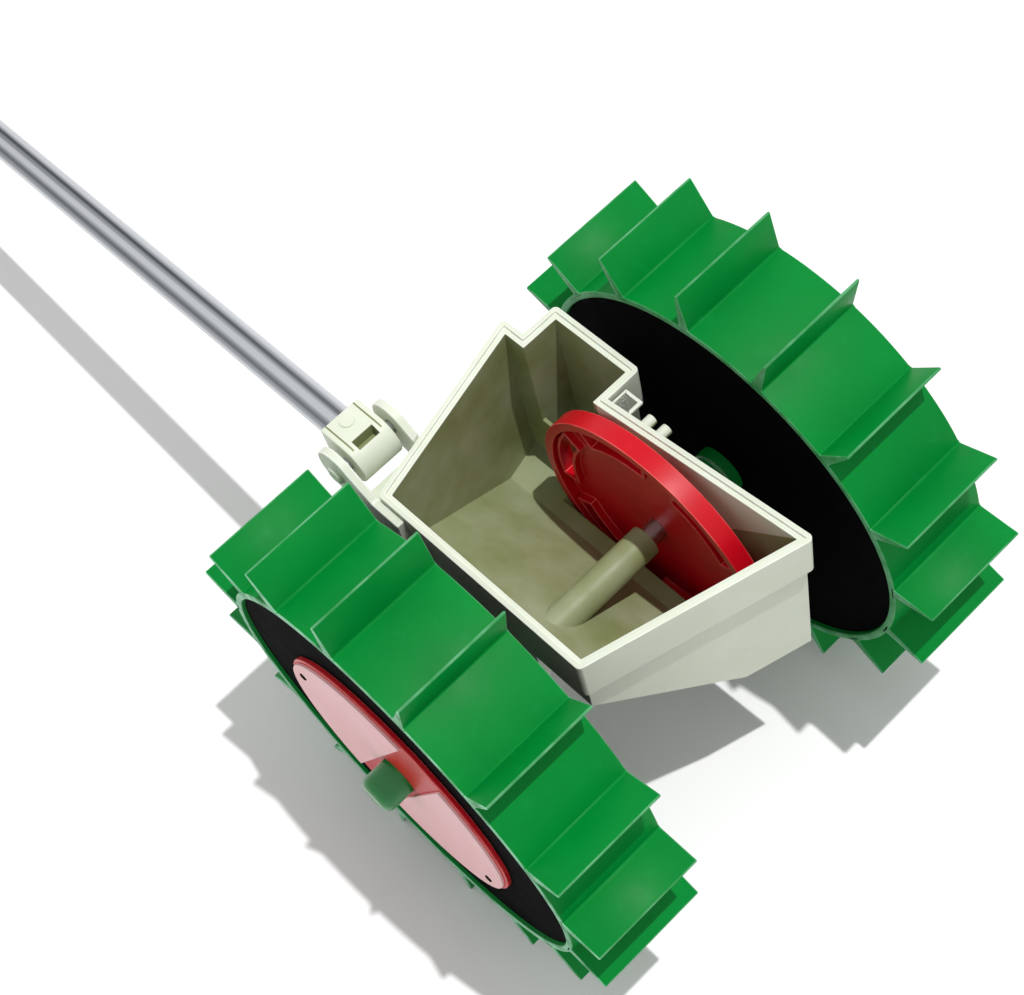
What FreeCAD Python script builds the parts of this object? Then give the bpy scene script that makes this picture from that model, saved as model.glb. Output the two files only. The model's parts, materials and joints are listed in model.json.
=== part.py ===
"""Hand seeder: a two-wheeled push seeder with a seed hopper slung between two lugged wheels.

Millimetres, +X in the direction of travel, +Y to the left, +Z up.  Every piece is first
modelled about the axle (the axle's line is the Y axis), with the hopper level.  Parked, with the
grip on the floor, the hopper leans back about the axle; then the whole machine is set on the
floor.  The left wheel, the axle and the working seed disc turn as one; the right wheel turns
by itself.
"""
import FreeCAD, Part
import math
import os

os.makedirs("parts", exist_ok=True)
Vector = FreeCAD.Vector
X_AXIS = Vector(1, 0, 0)
Y_AXIS = Vector(0, 1, 0)
ORIGIN = Vector(0, 0, 0)

# ---------------------------------------------------------------- driving sizes
# Fits
running_gap = 0.05           # radial, shaft in bearing
seat_gap = 0.15              # radial, pieces of one body pushed together

# Wheels
rim_radius = 100.0           # outside of the drum, between the lugs
rim_wall = 3.5
rim_width = 54.0
lug_count = 16
lug_height = 20.0
lug_base = 5.0
lug_tip = 1.2
wheel_gap = 138.0            # between the inner faces of the two drums
web_plate = 3.0
web_recess = 2.0             # edge of the drum to the web, on both sides
hub_radius = 12.0
hub_nose = 7.0               # how far the hub stands in from the drum
spigot_radius = 9.0
spigot_length = 15.0         # beyond the outer edge of the drum

# Axle and seed discs
axle_radius = 5.0
axle_end = 4.0               # axle's end to the outer edge of the drum
disc_radius = 64.0
disc_width = 9.0
disc_right_face = 25.5       # Y of the working disc's face towards the seeds
disc_web = 3.5
disc_rim = 4.5
pocket_count = 6
pocket_ring = 53.0           # radius of the ring of pockets
pocket_width = 8.0
pocket_angle = 40.0          # degrees from end to end of a pocket
first_pocket = -25.0         # middle of the first pocket, degrees forward of the top
cup_wall = 1.5
disc_proud = 2.0             # stored disc's face beyond the outer edge of the drum
plate_inset = 1.5            # edge of the stored disc to its two half-moon plates
plate_depth = 1.5
plate_split = 11.0           # half width of the bar between the two plates
plate_lean = -67.0           # the first plate's middle, degrees forward of the top

# Hopper: plan of the outer walls
wall = 2.0
rim_height = 60.0            # above the axle
hopper_lean = 5.2            # degrees that the parked hopper leans back about the axle
band_height = 25.0           # turned-down rim
band_width = 2.5
ledge_drop = 1.5             # step inside the rim's lip
lip_width = 2.3
hopper_right = -52.0
hopper_front_right = 45.5
hopper_front_left = 73.5
hopper_left_front = 46.0
hopper_left_back = 38.5
hopper_back_right = -69.0
hopper_back_left = -92.0
right_wall_depth = 41.0      # rim to the start of the sloping floor
floor_slope = 38.0           # degrees
floor_level = -33.0          # underside of the flat floor, from the axle
housing_gap = 1.2            # seed disc to its round housing
housing_side_gap = 2.0

# Drop compartment and chute, behind the disc on the left
drop_back = -80.0
drop_front = -34.0
drop_left = 58.0
drop_floor = -20.0
partition_top = 0.0
chute_mouth = 18.0
chute_clearance = 20.0       # mouth of the chute above the floor, hopper level

# Bearings of the axle, moulded in the hopper
sleeve_wall = 2.6
boss_length = 6.0
bracket_radius = 13.0
bracket_width = 6.0

# Clip and studs moulded on the outside of the left wall
clip_width = 10.0
clip_reach = 9.0
clip_wire = 1.6
clip_front = -20.0
stud_radius = 2.6
stud_length = 6.0
stud_start = 7.0             # clip to the first stud
stud_spacing = 8.0

# Handle and its pivot
pivot_back = 24.0            # pivot behind the hopper's rear right corner
pivot_drop = 2.0             # pivot below the top of the rim
pivot_radius = 3.0
pivot_end = 1.0              # end of the pin beyond the cheek
socket_width = 21.0
socket_thickness = 21.0
socket_reach = 15.0
socket_end_gap = 1.5
window_length = 5.0          # forward from the pivot
window_width = 11.4
window_floor = 1.5           # left over the pin's bore
cheek = 4.0
cheek_gap = 3.0
cheek_radius = 12.0
cheek_top_drop = 3.0         # top of the rim to the top of the cheek where it meets the wall
cheek_root = 17.0            # height of the cheek where it meets the wall
clevis_lap = 14.0            # how far the outer cheek laps the side of the rim
clevis_base = 10.0           # height of the base between the cheeks
tube_radius = 7.5
tube_wall = 1.2
tube_start = 5.0             # from the pivot
handle_length = 1180.0       # pivot to the end of the grip
grip_radius = 14.0
grip_length = 125.0
grip_end_wall = 4.0

# ---------------------------------------------------------------- worked out from them
tip_radius = rim_radius + lug_height
lug_pitch = 360.0 / lug_count
half_tip_angle = math.asin(lug_tip / 2 / tip_radius)
axle_height = tip_radius * math.cos(math.radians(lug_pitch / 2) - half_tip_angle)
inner_face = wheel_gap / 2
drum_bore = rim_radius - rim_wall
web_face = rim_width - web_recess                     # where the stored disc seats
disc_face = rim_width + disc_proud
housing_radius = disc_radius + housing_gap
bearing_bore = axle_radius + running_gap
sleeve_radius = bearing_bore + sleeve_wall
chute_bottom = chute_clearance - axle_height
cheek_inside = socket_width / 2 + cheek_gap
cheek_outside = cheek_inside + cheek
pivot_x = hopper_back_right - pivot_back
pivot_y = hopper_right - band_width + cheek_inside    # the outer cheek lies on the side of the rim
pivot_z = rim_height - pivot_drop
parked_pivot = FreeCAD.Rotation(Y_AXIS, -hopper_lean).multVec(Vector(pivot_x, pivot_y, pivot_z))
pivot_height = axle_height + parked_pivot.z
grip_corner = Vector(handle_length, grip_radius)
parked_angle = math.degrees(
    math.asin(pivot_height / grip_corner.Length) - math.atan2(grip_corner.y, grip_corner.x))
beyond = 4 * rim_radius      # reaches past the whole head of the machine


# ---------------------------------------------------------------- small helpers
def block(x0, x1, y0, y1, z0, z1):
    return Part.makeBox(x1 - x0, y1 - y0, z1 - z0, Vector(x0, y0, z0))


def rod_y(radius, y0, y1, x=0.0, z=0.0):
    """Cylinder along Y."""
    return Part.makeCylinder(radius, y1 - y0, Vector(x, y0, z), Y_AXIS)


def closed(corners):
    return Part.Face(Part.makePolygon(corners + corners[:1]))


def prism_x(points, x0, x1):
    """Prism along X over a section of (y, z) points."""
    return closed([Vector(x0, y, z) for y, z in points]).extrude(Vector(x1 - x0, 0, 0))


def turned_y(points):
    """Turned piece about the axle from a half section of (radius, y) points."""
    return closed([Vector(r, y, 0) for r, y in points]).revolve(ORIGIN, Y_AXIS, 360)


def grown(points, distance, z0, z1, join=2):
    """Upright prism over an outline moved out by a distance; join 0 rounds its corners."""
    corners = [Vector(x, y, z0) for x, y in points]
    wire = Part.makePolygon(corners + corners[:1])
    if distance:
        wire = wire.makeOffset2D(distance, join)
    return Part.Face(wire).extrude(Vector(0, 0, z1 - z0))


# ---------------------------------------------------------------- wheels
# A wheel is modelled with its inner edge at y = 0 and its outer edge at y = rim_width.
def wheel_rim():
    """Drum with thin radial lugs, drawn as one outline."""
    half_base = math.asin(lug_base / 2 / rim_radius)

    def at(radius, angle):
        return Vector(radius * math.sin(angle), 0, radius * math.cos(angle))

    edges = []
    for k in range(lug_count):
        middle = math.radians(lug_pitch * (k + 0.5))
        next_middle = middle + math.radians(lug_pitch)
        corners = [at(rim_radius, middle - half_base), at(tip_radius, middle - half_tip_angle),
                   at(tip_radius, middle + half_tip_angle), at(rim_radius, middle + half_base)]
        edges += [Part.makeLine(corners[i], corners[i + 1]) for i in range(3)]
        halfway = at(rim_radius, (middle + next_middle) / 2)
        edges.append(Part.Arc(corners[3], halfway, at(rim_radius, next_middle - half_base)).toShape())
    outline = Part.Face(Part.Wire(edges)).extrude(Vector(0, rim_width, 0))
    return outline.cut(rod_y(drum_bore, 0, rim_width))


def wheel_web():
    """Two flat plates that close the drum, one near each edge."""
    plates = [rod_y(drum_bore - seat_gap, y, y + web_plate).cut(rod_y(hub_radius + seat_gap, 0, rim_width))
              for y in (web_recess, web_face - web_plate)]
    return Part.makeCompound(plates)


def wheel_hub(bore_radius):
    """Hub: nose inwards, barrel through the web, spigot for the stored disc."""
    end = rim_width + spigot_length
    bore_end = rim_width - axle_end + 1
    return turned_y([(bore_radius, -hub_nose), (hub_radius, -hub_nose), (hub_radius, web_face),
                     (spigot_radius, web_face), (spigot_radius, end), (0, end), (0, bore_end),
                     (bore_radius, bore_end)])


def pocket(width, spread, y0, y1):
    """Prism over a slot that follows the ring of pockets, centred on +Z."""
    steps = [pocket_angle * (k / 4 - 0.5) for k in range(5)]
    steps = [math.radians(step) * (1 + spread / pocket_ring) for step in steps]
    corners = [Vector(radius * math.sin(angle), y0, radius * math.cos(angle))
               for radius, angles in ((pocket_ring + width / 2, steps),
                                      (pocket_ring - width / 2, steps[::-1]))
               for angle in angles]
    return closed(corners).extrude(Vector(0, y1 - y0, 0))


def around(shape):
    """Copies of a pocket all round the disc."""
    copies = []
    for k in range(pocket_count):
        copy = shape.copy()
        copy.rotate(ORIGIN, Y_AXIS, first_pocket + 360.0 / pocket_count * k)
        copies.append(copy)
    return copies


def seed_disc():
    """Working disc: a rim, and a ring of walled pockets that are open through its web."""
    bore = axle_radius + seat_gap
    floor = disc_width - disc_web
    inner = disc_radius - disc_rim
    disc = turned_y([(bore, floor), (inner, floor), (inner, 0), (disc_radius, 0),
                     (disc_radius, disc_width), (bore, disc_width)])
    cups = pocket(pocket_width + 2 * cup_wall, 3 * cup_wall, floor / 3, disc_width)
    holes = pocket(pocket_width, 0, 0, disc_width)
    disc = disc.fuse(around(cups)).cut(around(holes))
    disc.translate(Vector(0, disc_right_face, 0))
    return disc.removeSplitter()


def half_moon(turn):
    """Plate on the face of the stored disc, its straight edge towards the spigot."""
    radius = disc_radius - plate_inset
    moon = rod_y(radius, disc_face - plate_depth, disc_face)
    moon = moon.common(block(-radius, radius, 0, beyond, plate_split, radius))
    moon.rotate(ORIGIN, Y_AXIS, turn)
    return moon


def spare_disc():
    """Stored disc: it lies on the web, on the hub's spigot, with two plates on its face."""
    face = disc_face - plate_depth
    return rod_y(disc_radius, web_face, face).cut(rod_y(spigot_radius + seat_gap, web_face, face))


def spare_disc_plates():
    return Part.makeCompound([half_moon(plate_lean), half_moon(plate_lean + 180)])


def axle():
    half = inner_face + rim_width - axle_end
    return rod_y(axle_radius, -half, half)


# ---------------------------------------------------------------- hopper
tub_plan = [(hopper_back_right, hopper_right), (hopper_front_right, hopper_right),
            (hopper_front_left, hopper_left_front), (drop_front, hopper_left_back),
            (hopper_back_left, hopper_left_back)]
drop_plan = [(drop_back, hopper_left_back - wall), (drop_front, hopper_left_back - wall),
             (drop_front, drop_left), (drop_back, drop_left)]


def above_floor(raise_by):
    """Everything above the sloping and the flat floor."""
    slope = math.tan(math.radians(floor_slope))
    start_z = rim_height - right_wall_depth + raise_by / math.cos(math.radians(floor_slope))
    flat_z = floor_level + raise_by
    flat_y = hopper_right + (start_z - flat_z) / slope
    section = [(hopper_right - beyond, start_z + beyond * slope), (flat_y, flat_z),
               (beyond, flat_z), (beyond, start_z + beyond * slope)]
    return prism_x(section, -beyond, beyond)


def disc_housing(radius, y0, y1, top):
    """Round trough about the lower half of the seed disc."""
    return rod_y(radius, y0, y1).common(block(-beyond, beyond, -beyond, beyond, -beyond, top))


def left_wall_y(x):
    """Outer face of the hopper's left wall, below the rim band."""
    share = (x - drop_front) / (hopper_front_left - drop_front)
    return hopper_left_back + share * (hopper_left_front - hopper_left_back)


def side_clip():
    """Loop that stands off the rim band beside the drop compartment."""
    back = clip_front - clip_width
    foot = left_wall_y(back)
    end = foot + band_width + clip_reach
    loop = block(back, clip_front, foot, end, rim_height - 2 * clip_wire, rim_height - clip_wire)
    return loop.cut(block(back + clip_wire, clip_front - clip_wire, left_wall_y(clip_front) + band_width,
                          end - clip_wire, 0, rim_height))


def clip_studs():
    """Two round studs in the rim band, ahead of the clip."""
    studs = []
    for k in (0, 1):
        x = clip_front + stud_start + k * stud_spacing
        foot = left_wall_y(x)
        studs.append(rod_y(stud_radius, foot, foot + band_width + stud_length,
                           x, rim_height - 2 * stud_radius))
    return studs


def hopper_shell():
    housing_right = disc_right_face - housing_side_gap
    left_inside = hopper_left_back - wall
    outer = grown(tub_plan, 0, floor_level, rim_height).common(above_floor(0))
    outer = outer.fuse([
        grown(drop_plan, 0, drop_floor, rim_height),
        disc_housing(housing_radius + wall, housing_right - wall, hopper_left_back, 0),
        grown(tub_plan, band_width, rim_height - band_height, rim_height, 0),
        grown(drop_plan, band_width, rim_height - band_height, rim_height, 0),
        rod_y(bracket_radius, hopper_right, hopper_right + bracket_width),
        block(-bracket_radius, bracket_radius, hopper_right, hopper_right + bracket_width,
              0, rim_height - right_wall_depth + wall),
        rod_y(sleeve_radius, left_inside, hopper_left_back + boss_length)])
    inner = grown(tub_plan, -wall, floor_level, rim_height).common(above_floor(wall))
    inner = inner.fuse([
        disc_housing(housing_radius, housing_right, left_inside, pocket_ring),
        grown(drop_plan, -wall, drop_floor, rim_height)])
    doorway = block(drop_back + wall, drop_front - wall, left_inside - wall,
                    hopper_left_back + wall, partition_top, rim_height)
    ledge = [grown(plan, band_width - lip_width, rim_height - ledge_drop, rim_height)
             for plan in (tub_plan, drop_plan)]
    shell = outer.cut([inner, doorway] + ledge)
    sleeve = rod_y(sleeve_radius, hopper_right, housing_right)
    shell = shell.fuse([sleeve, side_clip()] + clip_studs())
    return shell.cut(rod_y(bearing_bore, -beyond, beyond)).removeSplitter()


def tapered_box(top, top_z, low, low_z):
    """Solid between two plan rectangles (x0, x1, y0, y1) at two heights."""
    def corners(r, z):
        return [Vector(r[0], r[2], z), Vector(r[1], r[2], z), Vector(r[1], r[3], z),
                Vector(r[0], r[3], z)]

    upper, lower = corners(top, top_z), corners(low, low_z)
    faces = [closed(upper), closed(lower)]
    faces += [closed([upper[i], upper[i - 1], lower[i - 1], lower[i]]) for i in range(4)]
    solid = Part.Solid(Part.makeShell(faces))
    solid.fixTolerance(1e-6)
    return solid if solid.Volume > 0 else solid.reversed()


def drop_chute():
    """Funnel from the drop compartment to just above the ground."""
    x, y = (drop_back + drop_front) / 2, (drop_left + hopper_left_back) / 2

    def funnel(inset):
        top = (drop_back + inset, drop_front - inset, hopper_left_back + seat_gap + inset,
               drop_left - inset)
        half = chute_mouth / 2 - inset
        return tapered_box(top, drop_floor, (x - half, x + half, y - half, y + half), chute_bottom)

    return funnel(0).cut(funnel(wall))


# ---------------------------------------------------------------- handle
def at_pivot(shape):
    shape.translate(Vector(pivot_x, pivot_y, pivot_z))
    return shape


def parked(shape):
    """Turns a handle piece, modelled along -X from the pivot, down to the floor."""
    shape.rotate(ORIGIN, Y_AXIS, -parked_angle)
    shape.translate(parked_pivot)
    return shape


def leaned(shape):
    """Leans a piece of the level hopper back about the axle."""
    shape.rotate(ORIGIN, Y_AXIS, -hopper_lean)
    return shape


def tangent(x, z, side):
    """Where a line from (x, z) touches the round end of the cheek, above (1) or below (-1)."""
    turn = math.atan2(z, x) + side * math.acos(cheek_radius / math.hypot(x, z))
    return cheek_radius * math.cos(turn), cheek_radius * math.sin(turn)


def handle_clevis():
    """Two cheeks that rise from the rim to the pivot, on a base that seats on the rim band."""
    wall_x = pivot_back - band_width
    reach = pivot_back + clevis_lap
    top = pivot_drop - cheek_top_drop
    low = top - cheek_root
    outline = [tangent(wall_x, top, 1), (wall_x, top), (reach, top), (reach, low), (wall_x, low),
               tangent(wall_x, low, -1), (0, 0)]
    body = closed([Vector(x, -cheek_outside, z) for x, z in outline])
    body = body.extrude(Vector(0, 2 * cheek_outside, 0))
    body = body.fuse(rod_y(cheek_radius, -cheek_outside, cheek_outside))
    slot_end = socket_thickness / 2 + socket_end_gap
    slot = block(-cheek_radius, slot_end, -cheek_inside, cheek_inside, -beyond, beyond)
    over_base = block(0, reach, -cheek_inside, cheek_inside, low + clevis_base, beyond)
    hole = rod_y(pivot_radius + seat_gap, -cheek_outside, cheek_outside)
    body = at_pivot(body.cut([slot, over_base, hole]))
    return body.cut(grown(tub_plan, band_width, floor_level, beyond, 0)).removeSplitter()


def pivot_bolt():
    half = cheek_outside + pivot_end
    return at_pivot(rod_y(pivot_radius, -half, half))


def tube_shape(radius, start, end):
    return Part.makeCylinder(radius, end - start, Vector(-start, 0, 0), -X_AXIS)


def handle_socket():
    """Block on the pivot that takes the end of the tube."""
    half = socket_thickness / 2
    body = block(-socket_reach, 0, -socket_width / 2, socket_width / 2, -half, half)
    body = body.fuse(rod_y(half, -socket_width / 2, socket_width / 2))
    window = block(0, window_length, -window_width / 2, window_width / 2,
                   pivot_radius + window_floor, half)
    body = body.cut([window, tube_shape(tube_radius + seat_gap, tube_start, socket_reach),
                     rod_y(pivot_radius + running_gap, -socket_width, socket_width)])
    return parked(body.removeSplitter())


def handle_tube():
    end = handle_length - grip_end_wall
    tube = tube_shape(tube_radius, tube_start, end)
    return parked(tube.cut(tube_shape(tube_radius - tube_wall, tube_start, end)))


def handle_grip():
    """Sleeve over the end of the tube, closed at its end."""
    start = handle_length - grip_length
    tube_end = handle_length - grip_end_wall
    grip = tube_shape(grip_radius, start, handle_length)
    return parked(grip.cut(tube_shape(tube_radius + seat_gap, start, tube_end)))


# ---------------------------------------------------------------- assembly
def left(shape):
    placed = shape.copy()
    placed.translate(Vector(0, inner_face, 0))
    return placed


def right(shape):
    return left(shape).mirror(ORIGIN, Y_AXIS)


pieces = {
    "hopper_shell": leaned(hopper_shell()),
    "drop_chute": leaned(drop_chute()),
    "handle_clevis": leaned(handle_clevis()),
    "pivot_bolt": leaned(pivot_bolt()),
    "handle_socket": handle_socket(),
    "handle_tube": handle_tube(),
    "handle_grip": handle_grip(),
    "axle": axle(),
    "seed_disc": seed_disc(),
}
rim = wheel_rim()
for side, place, bore_gap in (("left", left, seat_gap), ("right", right, running_gap)):
    pieces[side + "_wheel_rim"] = place(rim)
    pieces[side + "_wheel_web"] = place(wheel_web())
    pieces[side + "_wheel_hub"] = place(wheel_hub(axle_radius + bore_gap))
    pieces[side + "_spare_disc"] = place(spare_disc())
    pieces[side + "_disc_plates"] = place(spare_disc_plates())

# The origin is on the floor, under the middle of the whole machine.
whole = FreeCAD.BoundBox()
for shape in pieces.values():
    whole.add(shape.optimalBoundingBox(False))
to_floor = Vector(-(whole.XMin + whole.XMax) / 2, 0, axle_height)

for name, shape in pieces.items():
    shape.translate(to_floor)
    shape.exportStep("parts/" + name + ".step")
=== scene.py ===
# %% [markdown]
# # Dressing a hand seeder
# The seeder arrives as a set of exact solids that already sit where they belong: two lugged wheels, a hopper
# with its seed disc, and a long handle on a pivot.  They could be drawn again from nothing, but then two
# models would have to agree.  So the first step loads them as a fixed frame, and every piece is fitted to
# them.  The size of their box is noted.

# %% Load the frame
import json
import math

import bmesh
import bpy
from mathutils import Matrix, Vector
from mathutils.bvhtree import BVHTree


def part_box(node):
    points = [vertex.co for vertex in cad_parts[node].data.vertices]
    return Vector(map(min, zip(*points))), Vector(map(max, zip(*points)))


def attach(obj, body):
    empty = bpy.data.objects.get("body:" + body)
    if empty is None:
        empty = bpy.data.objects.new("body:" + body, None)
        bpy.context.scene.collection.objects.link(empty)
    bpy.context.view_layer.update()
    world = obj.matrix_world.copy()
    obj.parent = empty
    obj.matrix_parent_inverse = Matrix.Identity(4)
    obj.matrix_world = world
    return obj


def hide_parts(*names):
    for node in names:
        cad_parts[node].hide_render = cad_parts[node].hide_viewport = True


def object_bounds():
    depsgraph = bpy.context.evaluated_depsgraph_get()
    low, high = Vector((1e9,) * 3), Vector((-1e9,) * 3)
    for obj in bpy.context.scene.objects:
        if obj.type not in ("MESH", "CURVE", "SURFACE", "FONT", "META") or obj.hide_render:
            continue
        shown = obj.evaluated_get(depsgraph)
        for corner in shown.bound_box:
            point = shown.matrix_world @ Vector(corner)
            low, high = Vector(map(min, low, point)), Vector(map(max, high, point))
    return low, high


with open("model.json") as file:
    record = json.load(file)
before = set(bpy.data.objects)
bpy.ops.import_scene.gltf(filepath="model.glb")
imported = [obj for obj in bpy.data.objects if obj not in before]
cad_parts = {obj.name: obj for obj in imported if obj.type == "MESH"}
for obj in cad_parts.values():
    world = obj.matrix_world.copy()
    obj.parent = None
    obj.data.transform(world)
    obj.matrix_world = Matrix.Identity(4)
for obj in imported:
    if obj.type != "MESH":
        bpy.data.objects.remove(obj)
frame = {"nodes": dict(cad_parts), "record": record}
nodes = frame["nodes"]
cad_low, cad_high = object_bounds()
print("solids:", len(nodes), "box:", [round(v, 3) for v in cad_high - cad_low])

# %% [markdown]
# ## Where things are
# Every place is read from the solids, because a number typed a second time may differ from the first.  The
# axle's box gives the line that both wheels turn about, and each drum's box gives the middle of its wheel.
# The rim's mount gives the plane of the hopper's opening.  The handle is a straight tube, so the middles of
# its two ends give the line that it lies on.

# %% Places read from the solids
def middle(node):
    low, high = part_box(node)
    return (low + high) / 2


def size(node):
    low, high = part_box(node)
    return high - low


axle_point = middle("axle")
floor_z = cad_low.z
print("axle at", [round(v, 4) for v in axle_point], "drum width", round(size("left_wheel_rim").y, 4))

# %% The plane of the rim
rim_top = frame["record"]["mounts"][0]
rim_point, rim_up = Vector(rim_top["pos_m"]), Vector(rim_top["axis"])


def below_rim(point):
    """How far a point lies below the top of the hopper's rim."""
    return (rim_point - point).dot(rim_up)


print("rim at", [round(v, 4) for v in rim_point])

# %% The handle's line
tube_points = [vertex.co for vertex in nodes["handle_tube"].data.vertices]
tube_middle = middle("handle_tube")
tube_ends = []
for end in (-1, 1):
    ring = [point for point in tube_points if (point.x - tube_middle.x) * end > 0]
    tube_ends.append(sum(ring, Vector()) / len(ring))
handle_line = (tube_ends[0] - tube_ends[1]).normalized()         # from the pivot towards the grip
handle_tilt = math.atan2(-handle_line.z, -handle_line.x)
handle_pivot = middle("pivot_bolt")
print("handle lies", round(math.degrees(handle_tilt), 2), "degrees below level")

# %% [markdown]
# ## The camera
# The seeder is seen from ahead, above and to its right, with a long lens, so that the hopper opens towards
# the eye.  A camera could be turned by three angles, but those are hard to picture.  This one is placed by
# where it stands and the direction of its view, and its roll comes from the direction that is up in the
# picture.

# %% Camera
def link_object(name, data):
    made = bpy.data.objects.new(name, data)
    bpy.context.scene.collection.objects.link(made)
    return made


camera_offset = Vector((0.2711, -0.2215, 0.7807))      # from the axle's middle
view_direction = Vector((-0.3752, 0.2508, -0.8924))
picture_up = Vector((-0.6127, 0.6554, 0.4417))
camera_data = bpy.data.cameras.new("camera")
camera_data.lens = 70.07
camera_data.sensor_width = 36.0
camera_data.clip_start = 0.01
camera = link_object("camera", camera_data)
back = -view_direction.normalized()
right = picture_up.cross(back).normalized()
turn = Matrix((right, back.cross(right), back)).transposed().to_4x4()
camera.matrix_world = Matrix.Translation(axle_point + camera_offset) @ turn
bpy.context.scene.camera = camera
print("camera", round(camera_offset.length, 3), "m from the axle's middle")

# %% [markdown]
# ## Colours and sums
# A colour picked from a swatch is an sRGB value from 0 to 255.  The shader works with linear light, so each
# value is turned into linear before it is used.  Materials and Geometry Nodes both need small sums, so one
# helper adds a Math node to either kind of tree.

# %% Colour and node helpers
def srgb(red, green, blue):
    def linear(value):
        value /= 255
        return value / 12.92 if value <= 0.04045 else ((value + 0.055) / 1.055) ** 2.4

    return (linear(red), linear(green), linear(blue), 1.0)


def new_material(name):
    made = bpy.data.materials.new(name)
    made.use_nodes = True
    return made, made.node_tree.nodes, made.node_tree.links.new


def calculated(tree, operation, *values):
    """A Math node's result; each value is a number or another node's output."""
    step = tree.nodes.new("ShaderNodeMath")
    step.operation = operation
    for socket, value in zip(step.inputs, values):
        if isinstance(value, (int, float)):
            socket.default_value = value
        else:
            tree.links.new(value, socket)
    return step.outputs[0]

# %% [markdown]
# ## Floor and light
# A studio sheet lies under the seeder.  To the camera and in reflections it is nearly white, so that the
# background is white while the shadow stays; to the other rays it is a plain pale grey, so that it throws
# only a little light back up.  One sun stands high ahead of the machine and a dim white world fills the
# shadow.  Area lamps would do as well, but a sun lights every piece alike, however long the handle is.

# %% The studio sheet
def seen_directly(tree):
    """1 for camera, glossy and transmission rays, 0 for the rays that carry light."""
    rays = tree.nodes.new("ShaderNodeLightPath").outputs
    seen = calculated(tree, "MAXIMUM", rays["Is Camera Ray"], rays["Is Glossy Ray"])
    return calculated(tree, "MAXIMUM", seen, rays["Is Transmission Ray"])


sheet_half = 20.0
sheet_in_light, sheet_seen = 0.6, 0.98
sheet_corners = [(x * sheet_half, y * sheet_half, floor_z)
                 for x, y in ((-1, -1), (1, -1), (1, 1), (-1, 1))]
floor_mesh = bpy.data.meshes.new("floor")
floor_mesh.from_pydata(sheet_corners, [], [(0, 1, 2, 3)])
floor = link_object("floor", floor_mesh)
floor_paint, paint_nodes, paint_link = new_material("studio_sheet")
floor_shade = paint_nodes.new("ShaderNodeMix")
floor_shade.data_type = "RGBA"
floor_shade.inputs["A"].default_value = (sheet_in_light, sheet_in_light, sheet_in_light, 1)
floor_shade.inputs["B"].default_value = (sheet_seen, sheet_seen, sheet_seen, 1)
paint_link(seen_directly(floor_paint.node_tree), floor_shade.inputs["Factor"])
paint_link(floor_shade.outputs["Result"], paint_nodes["Principled BSDF"].inputs["Base Color"])
paint_nodes["Principled BSDF"].inputs["Roughness"].default_value = 1.0
paint_nodes["Principled BSDF"].inputs["Specular IOR Level"].default_value = 0.0
floor_mesh.materials.append(floor_paint)
print("sheet at height", round(floor_z, 4))

# %% World and sun
world_in_light, world_seen = 0.58, 1.0
world = bpy.data.worlds.new("studio")
world.use_nodes = True
sky = world.node_tree.nodes["Background"]
sky.inputs["Color"].default_value = (1, 1, 1, 1)
sky_strength = world.node_tree.nodes.new("ShaderNodeMapRange")
sky_strength.inputs["To Min"].default_value = world_in_light
sky_strength.inputs["To Max"].default_value = world_seen
world.node_tree.links.new(seen_directly(world.node_tree), sky_strength.inputs["Value"])
world.node_tree.links.new(sky_strength.outputs["Result"], sky.inputs["Strength"])
bpy.context.scene.world = world
bpy.context.scene.view_settings.view_transform = "Standard"

towards_sun = Vector((0.10, 0.17, 0.98))
sun_data = bpy.data.lights.new("key", "SUN")
sun_data.energy = 2.15
sun_data.angle = math.radians(1)
sun = link_object("key", sun_data)
sun.rotation_mode = "QUATERNION"
sun.rotation_quaternion = towards_sun.to_track_quat("Z", "Y")
print("sun", round(math.degrees(towards_sun.angle(Vector((0, 0, 1)))), 1), "degrees from overhead")

# %% [markdown]
# ## Moulded plastic
# Nearly all of the seeder is injection-moulded plastic.  Such plastic is never one flat colour: the pigment
# drifts a little from place to place, the skin has a fine orange-peel, and the gloss changes where hands and
# soil have rubbed it.  Painted images could show this, but they need an unwrapped mesh and show their seams.
# So one function mixes it all from noise on Object coordinates, and each moulding gets its own colours and
# gloss.  Worn edges, which also carry a painted highlight, and painted shade belong to a place, so they are
# numbers on the piece's faces, which the plastic reads.

# %% Noise and its range
def noise(tree, coordinates, scale, detail=3.0):
    """Noise in the piece's own metres."""
    texture = tree.nodes.new("ShaderNodeTexNoise")
    texture.inputs["Scale"].default_value = scale
    texture.inputs["Detail"].default_value = detail
    tree.links.new(coordinates, texture.inputs["Vector"])
    return texture.outputs["Fac"]


def between(tree, value, low, high, start=0.3, end=0.7):
    """A value brought from start..end to low..high."""
    ranged = tree.nodes.new("ShaderNodeMapRange")
    for name, number in (("From Min", start), ("From Max", end), ("To Min", low), ("To Max", high)):
        ranged.inputs[name].default_value = number
    tree.links.new(value, ranged.inputs["Value"])
    return ranged.outputs["Result"]

# %% Colours, bumps and numbers on faces
def blended(tree, factor, first, second):
    """A colour between two others; either may be a colour or another node's output."""
    mixed = tree.nodes.new("ShaderNodeMix")
    mixed.data_type = "RGBA"
    tree.links.new(factor, mixed.inputs["Factor"])
    for socket, colour in (("A", first), ("B", second)):
        if isinstance(colour, tuple):
            mixed.inputs[socket].default_value = colour
        else:
            tree.links.new(colour, mixed.inputs[socket])
    return mixed.outputs["Result"]


def bumped(tree, height, strength, distance):
    bump = tree.nodes.new("ShaderNodeBump")
    bump.inputs["Strength"].default_value = strength
    bump.inputs["Distance"].default_value = distance
    tree.links.new(height, bump.inputs["Height"])
    return bump.outputs["Normal"]


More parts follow.
